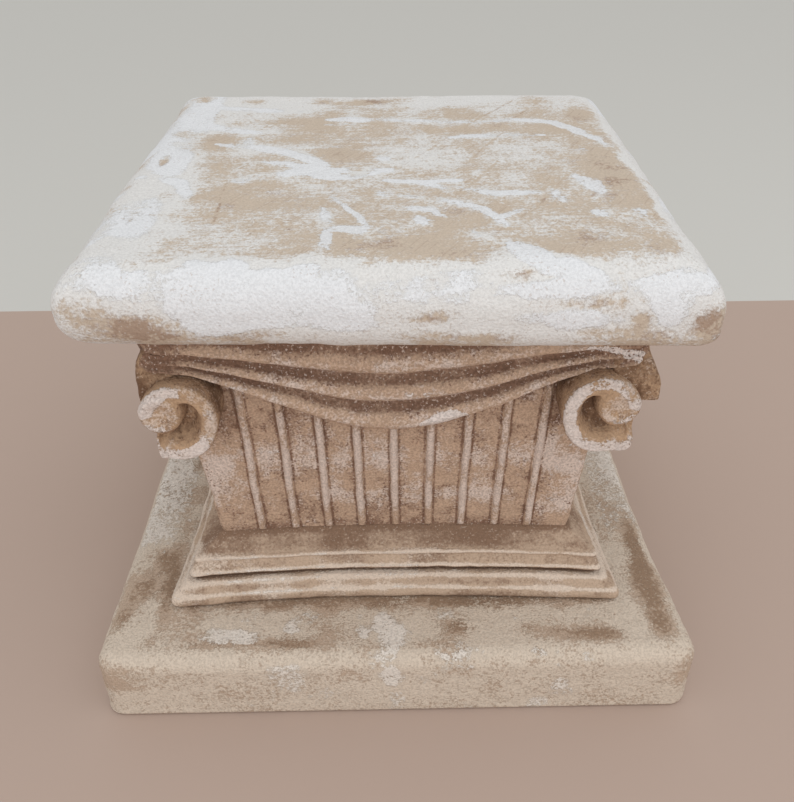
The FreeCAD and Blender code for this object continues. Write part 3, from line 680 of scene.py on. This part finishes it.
for k, name in enumerate(FACES):
    for title, (outline, corner, edges, creases) in COURSES.items():
        world, end, groove = course(outline, corner, k)
        worn = near_levels(world, edges, 1.1)
        # painted shade: the groove and the creases under the nose and at the panel's foot get more brown and
        # less chalk
        crease_shade = near_levels(world, creases, 1.4) + 1.1 * groove
        slope = fade(world[..., 2], 72.5, 75)
        wash_and_shade = 0.34 + 0.7 * crease_shade + 0.3 * rough(world, 26, 57) + 0.26 * slope - 0.5 * worn
        chalk = 0.26 + 0.7 * worn + 0.26 * rough(world, 18, 58) - 0.45 * crease_shade
        chalk += 0.16 * fade(end, 0.9, 1) - 0.36 * slope
        dab_and_light = 0.5 * worn * fade(rough(world, 30, 59), 0.0, 0.6)
        set_run(title + name, world, "beige_plaster", wash_and_shade, chalk, dab_and_light)

# %% [markdown]
# ## Fluted panels
# Each face of the body leans outwards and is slightly hollow in plan, with nine round ribs that end under
# the lowest fold of the drapery. The face is a grid of x and height. The ribs are half rounds added along
# the outward direction, with a small wander of their own, so that no two are quite alike.

# %% Folds of the drapery, which also end the panels
LIP_DROPS, LIP_END_DROPS, LIP_SHARES = (25.0, 43.5, 63.0), (11.5, 16.0, 20.0), (0.38, 0.46, 0.5)
SWAG_HALF, SAG_WAVE = 119.0, 138.0


def sag(x):
    """0 at mid face and 1 at the end of the swag, along a cosine wave."""
    return (1 - np.cos(math.pi * x / SAG_WAVE)) / (1 - math.cos(math.pi * SWAG_HALF / SAG_WAVE))


def lip_level(x, fold):
    """Height of the lower edge of a fold."""
    return HEAD_Z - LIP_DROPS[fold] - sag(x) * (LIP_END_DROPS[fold] - LIP_DROPS[fold])


print("lowest lip at mid face and at its end:", lip_level(0.0, 2), lip_level(SWAG_HALF, 2))

# %% Panel grid with ribs
RIB_COUNT, RIB_PITCH, RIB_WIDTH, RIB_PROUD = 9, 20.0, 4.5, 2.8
PANEL_THICK, PANEL_BED = 11.0, 0.4  # thickness at the edges, and how far the foot stands in the steps
PANEL_STATIONS, PANEL_ROWS = 401, 128


def panel(k):
    """One panel: stations across the face, and at each an outline up the front and down the back.

    The edges stand more upright than the face, so its hollow dies out upwards, and the ribs draw together
    downwards. Rib height is the root of 1 minus the squared distance from the rib's line, in half
    widths."""
    even = np.linspace(-1, 1, PANEL_STATIONS)[:, None] * FOOT_HALF
    x0 = even - 0.11 * RIB_PITCH * np.sin(2 * math.pi * even / RIB_PITCH) * (1 - fade(np.abs(even), 84, 96))
    rise = np.append(np.linspace(0, 1, PANEL_ROWS), [1.0, 0.5, 0.0])
    back = np.append(np.zeros(PANEL_ROWS), [1.0, 1.0, 1.0])
    top = lip_level(x0, 2) + 0.6
    z = FOOT_Z - PANEL_BED + rise * (top - FOOT_Z + PANEL_BED)
    half = FOOT_HALF + 0.6 * LEAN * (z - FOOT_Z) - PANEL_THICK * back
    bow = half + PANEL_THICK * back - face_reach(0.0, z)
    x, y, nx, ny = side_line(x0 / FOOT_HALF, half, 3.0 * (1 - back), bow)
    seeds = np.stack([x, np.full(x.shape, 300.0 * k), z], -1)  # another part of the field for each face
    wander = 0.4 * swell(seeds, 38, 61) + 0.14 * swell(seeds, 11, 62)
    line = (x + wander) / (RIB_PITCH * (0.979 + 0.0003 * (z - FOOT_Z)))
    outermost = RIB_COUNT // 2
    rib = np.abs(line - np.clip(np.round(line), -outermost, outermost)) * RIB_PITCH
    wide = RIB_WIDTH / 2 * (1 + 0.16 * swell(seeds, 17, 63))
    proud = RIB_PROUD * np.sqrt(np.clip(1 - (rib / wide) ** 2, 0, 1)) * (1 - back)
    proud *= fade(z, FOOT_Z - 0.5, FOOT_Z + 2.5)
    world = on_face(x, y, z, k)
    uneven = ((1 - back) * (0.6 * rough(world, 45, 65) + 0.4 * rough(world, 10, 66))
              * fade(z, FOOT_Z, FOOT_Z + 5))
    push_out(world, k, uneven + proud, nx, ny)
    return world, x, rib


FRONT_DUST = (
    (-98, 122, 12, 20, 0.3), (-70, 140, 30, 12, 0.16), (0, 140, 60, 10, 0.18), (70, 138, 30, 12, 0.16),
    (-30, 108, 40, 7, 0.14), (50, 106, 40, 8, 0.14), (98, 118, 12, 34, 0.3), (0, 90, 120, 7, -0.16),
)
for k, name in enumerate(FACES):
    world, x, rib = panel(k)
    z = world[..., 2]
    on_rib = 1 - fade(rib, 1.7, 2.4)
    # dark line beside each rib: partly wash held in the crease, partly painted shade
    beside = np.exp(-((rib - 2.9) / 0.6) ** 2)
    dusty = 1.7 * patches_cover(x, z, FRONT_DUST) if k == 0 else 0.2 * fade(rough(world, 40, 71), -0.3, 0.8)
    from_lip = z - lip_level(x, 2)
    # painted shade under the lowest fold: the panel below its lip gets more brown and less chalk
    shade_under_fold = fade(from_lip, -16, -1) * (np.abs(x) < 112)
    foot = 1 - fade(z, FOOT_Z, FOOT_Z + 9)
    wash_and_shade = 0.22 + 0.6 * beside + 0.34 * foot + 0.3 * shade_under_fold - 0.4 * on_rib
    wash_and_shade += 0.24 * rough(world, 14, 72) + 0.2 * rough(world, 5, 75)
    # painted shade at the top of the panel's edges, where the scrolls stand in front
    wash_and_shade += 0.35 * fade(np.abs(x), 78, 86) * fade(z, 150, 165)
    # painted shadow: a dark line just under the lowest lip
    wash_and_shade += 0.9 * fade(from_lip, -4.5, -1.5) * (np.abs(x) < 100)
    wash_and_shade -= 0.3 * fade(x, 87, 93) * (1 - fade(z, 140, 160))
    chalk = 0.24 + dusty + 0.36 * on_rib + 0.26 * rough(world, 12, 73)
    chalk -= 0.2 * shade_under_fold + 0.16 * foot + 0.3 * beside
    dab_and_light = 0.42 * fade(dusty, 0.12, 0.3) * fade(rough(world, 9, 74), 0.1, 0.7)
    set_run("fluted_panel_" + name, world, "tan_plaster", wash_and_shade, chalk, dab_and_light)

# %% [markdown]
# ## Swags
# Three folds of drapery hang under the slab on each face. Each is a cove that falls slowly, then swings out
# to a flat lip with an undercut below it. The folds are deep at mid face and close up towards the corners.
# A section with the three folds is carried along the face and follows the sag of the lips.

# %% Folds carried along a face
SWAG_END, SWAG_STATIONS, SWAG_BEHIND = 124.0, 249, 6.0  # half length, stations, reach into the body
LIP_ROLL = 1.4  # how far the lower edge of a lip rolls in
EAR_FRONTS = (126.0, 121.5)  # reach of the ears on the front and the back, and on the sides
NICK_Z, NICK_DEEP = 220.0, 4.0


def corner_nick(world):
    """How far a point near the head of the front left corner is pressed in along x: a soft notch."""
    x, y, z = np.moveaxis(world, -1, 0)
    return NICK_DEEP * np.exp(-((z - NICK_Z) / 4.5) ** 2) * fade(-x, 104, 118) * fade(-y, 100, 116)


def swag(k):
    """One swag: each station's outline goes down cove, lip and undercut of each fold, then back up behind.

    A cove swings out with a power of the way down, a lip bulges by a half sine and rolls in at its edge,
    and an undercut draws straight back. The folds die away towards the ends, which swing out over the ears.
    Gives the points, the place along the face and how far a point stands out on its fold."""
    x = np.linspace(-SWAG_END, SWAG_END, SWAG_STATIONS)[:, None]
    close, dying, flare = sag(x), fade(np.abs(x), 90, 114), fade(np.abs(x), 98, 117)
    sunk = 1 - fade(np.abs(x), 118, SWAG_END)
    lip_out, root_out = (11.0 - 6.5 * close - 1.4 * dying) * sunk, (3.0 - 1.4 * close + 0.8 * dying) * sunk
    cove, lip, cut = np.linspace(0, 1, 16)[:-1], np.linspace(0, 1, 12), np.array([0.35, 0.7])
    roll = 1.3 * np.sin(math.pi * lip) - LIP_ROLL * fade(lip, 0.7, 1)
    cut_back = root_out - lip_out + LIP_ROLL * sunk
    level, away, top = [], [], np.full(x.shape, HEAD_Z)
    for fold, share in enumerate(LIP_SHARES):
        bottom = lip_level(x, fold)
        lip_top = bottom + share * (top - bottom)
        root = root_out + face_reach(x, top) * (1 - flare) + EAR_FRONTS[k % 2] * flare
        out = lip_out + face_reach(x, bottom) * (1 - flare) + EAR_FRONTS[k % 2] * flare
        level += [top + (lip_top - top) * cove, lip_top + (bottom - lip_top) * lip, bottom + 0.0 * cut]
        away += [root + (out - root) * cove ** 3.2, out + roll * sunk, out - LIP_ROLL * sunk + cut_back * cut]
        top = bottom
    level += [bottom, np.full(x.shape, HEAD_Z)]
    away += [face_reach(x, bottom) - SWAG_BEHIND] * 2
    cove_crest = 0.2 - 0.35 * fade(cove, 0.1, 0.7) + 0.75 * fade(cove, 0.8, 1)
    lip_crest = 0.6 + 0.4 * fade(lip, 0, 0.4) - 0.35 * fade(lip, 0.85, 1)
    crest = np.concatenate([cove_crest, lip_crest, 0.0 * cut] * len(LIP_SHARES) + [np.zeros(2)])
    z, reach = np.concatenate(level, 1), np.concatenate(away, 1)
    front = reach > face_reach(x, bottom) - 1.0
    x = np.broadcast_to(x, z.shape)
    world = on_face(x, -reach, z, k)
    uneven = front * (0.55 * rough(world, 34, 81) + 0.4 * rough(world, 8, 82)) * fade(HEAD_Z - z, 0, 4)
    push_out(world, k, uneven)
    world[..., 2] += front * 0.5 * rough(world, 26, 83) * fade(HEAD_Z - z, 0, 6)
    world[..., 0] += corner_nick(world)
    return world, x, crest * (1 - 0.7 * dying)


FRONT_DABS = ((7.5, 0.95, 17, 170.5, 36, 175.5), (3.6, 0.8, 96, 218, 112, 217, 120, 214, 125, 209))
for k, name in enumerate(FACES):
    world, x, crest = swag(k)
    speckle = fade(rough(world, 7, 85), 0.2, 0.9)
    wash_and_shade = 0.74 - 0.72 * crest + 0.18 * rough(world, 16, 86)
    chalk = 0.1 + 0.26 * crest + 0.18 * speckle + 0.1 * rough(world, 20, 87)
    dab_and_light = 0.42 * crest.clip(0) * fade(rough(world, 14, 88), 0.4, 0.9)
    if k == 0:
        dab_and_light = np.maximum(dab_and_light, strokes_cover(x, world[..., 2], FRONT_DABS))
    set_run("swag_" + name, world, "tan_plaster", wash_and_shade, chalk, dab_and_light)

# %% [markdown]
# ## Corner blocks
# Behind each scroll stands an ear, narrow at its head and bellied at its foot. It is a stack of rounded
# squares whose outer side follows the belly, closed at head and foot.

# %% Ears
EAR_FOOT, EAR_IN, EAR_OUT, EAR_ROUND = 191.0, 108.0, 125.5, 2.6
EAR_BELLIES, EAR_ROWS, EAR_COLUMNS = (6.5, 1.4), 44, 24  # bellies take turns round the corners


def ear(k):
    """One corner block: rings of a rounded square from foot to head, with the outer side on a smooth swell.

    The belly is fuller at the right end of the front and of the back."""
    z = np.concatenate([[EAR_FOOT], np.linspace(EAR_FOOT, HEAD_Z, EAR_ROWS), [HEAD_Z]])[:, None]
    eased = np.concatenate([[1.6], np.zeros(EAR_ROWS), [1.2]])[:, None]
    outer = EAR_OUT + EAR_BELLIES[k % 2] * (1 - fade(z, 198, 219)) - eased
    half, middle = (outer - EAR_IN) / 2, (outer + EAR_IN) / 2
    x, y = square_ring(EAR_COLUMNS, half, EAR_ROUND)[:2]
    world = on_face(x + middle, y - middle, z, k)
    away = np.sign(world[..., :2]) * math.sqrt(0.5)
    world[..., :2] += away * (0.7 * rough(world, 20, 91) + 0.3 * rough(world, 6, 92))[..., None]
    world[..., 0] += corner_nick(world)
    return world


for k, name in enumerate(np.roll(CORNERS, -1)):
    world = ear(k)
    wash_and_shade = 0.72 + 0.3 * rough(world, 14, 93) + 0.3 * fade(world[..., 2], 216, 228)
    chalk = 0.16 + 0.2 * rough(world, 9, 94)
    set_run("corner_block_" + str(name), world, "worn_plaster", wash_and_shade, chalk)

# %% [markdown]
# ## Volutes
# A scroll is the most shaped casting of the riser. Its band starts in a tail at the bottom, climbs the
# inner side, turns over the top and curls into a bulging eye, with a channel between them that deepens into
# a dark hole. It could be swept as a tube, but the real one is a relief: a front seen as heights. So it is
# a fan of rays from the middle of the eye to the outline, with the height worked out at each point.

# %% Outline of a scroll
SCROLL_OUT, SCROLL_Z, SCROLL_RADIUS, SCROLL_FACE, SCROLL_THICK = 102.0, 186.0, 21.0, 137.0, 29.0
EYE_OUT, EYE_UP, EYE_RADIUS = 8.3, 4.8, 11.0
TAIL_FOOT, TAIL_ENDS = 20.8, {1: 18.6, -1: 13.0}  # right-handed scrolls are 1 and left-handed ones -1
SLIPS = {1: (1.85, -0.8), -1: (5.5, -1.5)}  # how far out and up a scroll of each hand was planted
RAY_COUNT, FAR = 220, 99.0
RAYS = np.linspace(-math.pi, math.pi, RAY_COUNT + 1)[:-1, None]


def scroll_outline(hand):
    """Distance along each ray to the outline: a circle and, below the eye, a tail with a square end."""
    along = EYE_OUT * np.cos(RAYS) + EYE_UP * np.sin(RAYS)
    circle = -along + np.sqrt(along ** 2 - EYE_OUT ** 2 - EYE_UP ** 2 + SCROLL_RADIUS ** 2)
    low = np.minimum((TAIL_FOOT + EYE_UP) / np.maximum(-np.sin(RAYS), 1e-6), FAR)
    end = np.minimum((TAIL_ENDS[hand] - EYE_OUT) / np.maximum(np.cos(RAYS), 1e-6), FAR)
    tail = np.maximum((low ** -8 + end ** -8) ** -0.125, EYE_RADIUS + 0.35)
    right = fade(RAYS, -math.pi / 2 - 0.35, -math.pi / 2 + 0.1) * (1 - fade(RAYS, -0.12, 0.2))
    return circle * (1 - right) + tail * right


for hand in (1, -1):
    print("scroll of hand", hand, "reaches", scroll_outline(hand).max().round(1), "mm from its eye")

# %% Relief of a scroll
CHANNEL_DEEP, CHANNEL_LIMIT, RIM_ROUND, WALL_WIDE, BACK_ROWS = 11.5, 10.5, 2.6, 1.9, 6


def scroll_relief(hand):
    """Distance from the eye's middle, depth and distance inwards from the band's edge, by rays and rows.

    Rows run over the eye (a dome with a dished middle), down its wall, across the channel and up the band's
    inner slope to the rim, round it, and back along the side to the panel. The channel is deepest beside
    the eye, where it starts, and rises until it runs out at the end of the tail."""
    rim = scroll_outline(hand)
    eye = np.minimum(EYE_RADIUS, rim - 0.3)
    foot = np.minimum(eye + WALL_WIDE, rim - 0.15)
    dome, wall, band = np.linspace(0.04, 1, 20), np.linspace(0, 1, 7)[1:], np.linspace(0, 1, 34)[1:]
    away = np.concatenate([eye * dome, eye + (foot - eye) * wall, foot + (rim - foot) * band], 1)
    inside = rim - away
    round_eye = np.degrees(RAYS) % 360
    channel = CHANNEL_DEEP * fade(round_eye, 142, 172) * (1 - 0.6 * fade(round_eye, 225, 318))
    corner = 360.0 - math.degrees(math.atan2(TAIL_FOOT + EYE_UP, TAIL_ENDS[hand] - EYE_OUT))
    from_band = inside + 14.0 * fade(round_eye, corner + 1, corner + 13) * (1 - fade(round_eye, 345, 357))
    lowest = np.maximum(channel, 1.6) * fade(from_band, 6.5, 15)
    lowest += RIM_ROUND * (1 - np.clip(inside / RIM_ROUND, 0, 1)) ** 2.2
    out = away / eye
    dished = 0.9 - 1.5 * (1 - fade(out, 0.2, 0.75)) - 1.6 * fade(out, 0.82, 1) ** 2
    down = fade(away, eye - 0.2, foot)
    depth = np.where(away <= eye, -dished, 0.7 * (1 - down) + np.maximum(lowest, 0.7) * down)
    depth = np.minimum(depth, CHANNEL_LIMIT)
    back = np.linspace(0, 1, BACK_ROWS + 1)[1:]
    side = depth[:, -1:] + (SCROLL_THICK - depth[:, -1:]) * back
    from_band = np.concatenate([from_band, np.full(side.shape, -2.0)], 1)
    return np.concatenate([away, rim - 0.5 * back], 1), np.concatenate([depth, side], 1), from_band


def scroll(k, hand):
    """One scroll on face k: points, depths, places u, v about its middle, and distances from the band's edge.

    The left scrolls were planted a little lower and further out."""
    away, depth, from_band = scroll_relief(hand)
    u, v = EYE_OUT + away * np.cos(RAYS), EYE_UP + away * np.sin(RAYS)
    u, v = 0.945 * u, v * (1 + 0.14 * fade(-v, 0, 12))
    slip_out, slip_up = SLIPS[hand]
    world = on_face(hand * (SCROLL_OUT + slip_out + u), depth - SCROLL_FACE, SCROLL_Z + slip_up + v, k)
    push_out(world, k, 0.5 * rough(world, 16, 101) + 0.25 * rough(world, 5, 102))
    world[..., 2] += 0.5 * swell(world, 18, 103)
    return world, depth, u, v, from_band


print("relief of a scroll, rays and rows:", scroll_relief(1)[0].shape)

# %% Close, paint and set the scrolls
def scroll_faces(rays, rows):
    """Quads between rays and rows, closed by a fan at the middle of the eye and one at the back."""
    ray = np.arange(rays)
    after = (ray + 1) % rays
    eye, back = rays * rows, rays * rows + 1
    first = np.stack([np.full(rays, eye), ray * rows, after * rows], -1)
    last = np.stack([np.full(rays, back), after * rows + rows - 1, ray * rows + rows - 1], -1)
    return [grid_faces(rays, rows, wrap_rows=True), first, last]


def with_ends(values):
    """Values at all points in turn, then their means over the innermost and outermost rows, for two fans."""
    ends = [values[:, 0].mean(0), values[:, -1].mean(0)]
    return np.concatenate([values.reshape(-1, *values.shape[2:]), ends])


for k in (0, 2):
    for hand, corner in ((-1, CORNERS[k]), (1, CORNERS[k + 1])):
        world, depth, u, v, inside = scroll(k, hand)
        rim = fade(inside, -0.5, 0.6) * (1 - fade(inside, 5.5, 9.5)) * (1 - fade(depth, 3, 6))
        eye = (1 - fade(np.hypot(u - EYE_OUT, v - EYE_UP), 8.6, 11.0)) * (1 - fade(depth, 2, 4))
        bare = 0.4 * fade(u + v, 18, 30) if hand > 0 else fade(0.4 * v - u, 4, 14)
        dab_and_light = rim * (0.7 + 0.16 * rough(world, 9, 111) - 0.45 * bare) + 0.5 * eye * fade(-v + 0.3 * u, -1, 6)
        if hand < 0:
            dab_and_light += 0.3 * eye * fade(v, 2, 10)
        chalk = 0.16 + 0.34 * np.maximum(rim, eye) + 0.2 * rough(world, 8, 112)
        wash_and_shade = 0.26 + 0.4 * fade(depth, 5, 10) + 0.24 * rough(world, 8, 113) - 0.2 * rim
        coats = [with_ends(coat) for coat in (wash_and_shade, chalk, dab_and_light)]
        set_piece("volute_" + corner, with_ends(world), scroll_faces(*depth.shape), "worn_plaster", *coats)

# %% [markdown]
# ## Inner pieces
# The hollow core and the dowels and pegs keep their CAD shapes, which are right as they are. The core is
# bare plaster with air holes and trowel marks, and the dowels are turned beech. Only their finish is made
# here.

# %% Bare plaster and dowel wood
raw = Finish("raw_plaster")
cloud, pits = raw.noise(22.0, 4.0, 0.6), raw.noise(1.6, 2.0, 0.6)
raw.surface(raw.blend(raw.edge(cloud, 0.3, 0.7), tone(214, 206, 194), tone(190, 178, 162)),
            raw.add(0.85, raw.times(pits, 0.12)))
raw.relief(raw.add(raw.edge(pits, 0.28, 0.42), raw.times(cloud, 1.4)), 0.5)
wood = Finish("dowel_wood")
ring = wood.noise(0.8, 3.0, 0.6, stretch=(1.0, 1.0, 22.0))
wood.surface(wood.blend(wood.edge(ring, 0.3, 0.7), tone(206, 172, 128), tone(172, 132, 88)),
             wood.add(0.5, wood.times(ring, 0.25)))
wood.relief(ring, 0.15)
for node, finish in (("body_core", raw), ("plinth_dowels", wood), ("slab_dowels", wood),
                     ("volute_pegs", wood)):
    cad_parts[node].data.materials.clear()
    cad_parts[node].data.materials.append(finish.material)
    print(node, "keeps its CAD shape, in", finish.material.name)

# %% [markdown]
# ## Stage, light and camera
# The riser stands on a plain pale floor, with a paler backdrop laid flat behind it, so that nothing stands
# in the way of a look from the back. The light is soft: an even sky, one large lamp overhead and one in
# front, at a level where a colour renders about as it is written. The camera stands in front and looks
# down.

# %% Floor and backdrop
STAGE_SIDE, STAGE_NEAR, BACKDROP_Y, STAGE_FAR = 4.0, -4.0, 0.329, 6.0  # metres


def stage_sheet(name, near, far, colour):
    """A plain matt rectangle on the ground, from near to far along y, that isn't part of the riser."""
    corners = [(-STAGE_SIDE, near, 0), (STAGE_SIDE, near, 0), (STAGE_SIDE, far, 0), (-STAGE_SIDE, far, 0)]
    mesh = bpy.data.meshes.new(name)
    mesh.from_pydata(corners, [], [(0, 1, 2, 3)])
    finish = Finish(name)
    finish.surface(colour, 0.9, 0.1)
    mesh.materials.append(finish.material)
    sheet = add_object(name, mesh)
    print(name, "from", near, "to", far, "m")


stage_sheet("floor", STAGE_NEAR, BACKDROP_Y, tone(185, 165, 153))
stage_sheet("backdrop", BACKDROP_Y, STAGE_FAR, tone(206, 205, 200))

# %% Light
SKY = 0.78
world = bpy.data.worlds.new("soft_sky")
bpy.context.scene.world = world
world.use_nodes = True
background = world.node_tree.nodes["Background"]
background.inputs["Color"].default_value = (1.0, 0.995, 0.99, 1.0)
background.inputs["Strength"].default_value = SKY


def softbox(name, width, height, watts, place, lean):
    """A large square lamp at a place in metres, leaned from straight down by two angles in degrees."""
    lamp = bpy.data.lights.new(name, "AREA")
    lamp.shape, lamp.size, lamp.size_y, lamp.energy = "RECTANGLE", width, height, watts
    holder = add_object(name, lamp)
    holder.location = place
    holder.rotation_euler = (math.radians(lean[0]), math.radians(lean[1]), 0.0)
    print(name, watts, "W at", place)


softbox("overhead_softbox", 1.6, 1.2, 4.3, (0.35, -0.45, 1.55), (18, 13))
softbox("front_softbox", 1.6, 0.9, 5.5, (0.1, -1.5, 0.55), (76, 0))

# %% Camera
PITCH, YAW, ROLL = 0.600, 0.011, -0.009
FOCAL, PICTURE_SIDE, SENSOR = 857.3, 802, 36.0  # focal length, longer side (pixels), sensor (mm)
CAMERA_PLACE = (-0.0023, -0.4823, 0.4323)
ahead = np.array([math.sin(YAW) * math.cos(PITCH), math.cos(YAW) * math.cos(PITCH), -math.sin(PITCH)])
right = np.array([math.cos(YAW), -math.sin(YAW), 0.0])
above = np.cross(right, ahead)
right, above = (right * math.cos(ROLL) + above * math.sin(ROLL),
                above * math.cos(ROLL) - right * math.sin(ROLL))
camera = add_object("camera", bpy.data.cameras.new("camera"))
camera.data.sensor_width = SENSOR
camera.data.lens = FOCAL / PICTURE_SIDE * SENSOR
pose = np.eye(4)
pose[:3, 0], pose[:3, 1], pose[:3, 2], pose[:3, 3] = right, above, -ahead, CAMERA_PLACE
camera.matrix_world = Matrix(pose.tolist())
bpy.context.scene.camera = camera
bpy.context.scene.view_settings.view_transform = "Standard"
print("lens", round(camera.data.lens, 2), "mm at", tuple(camera.location))
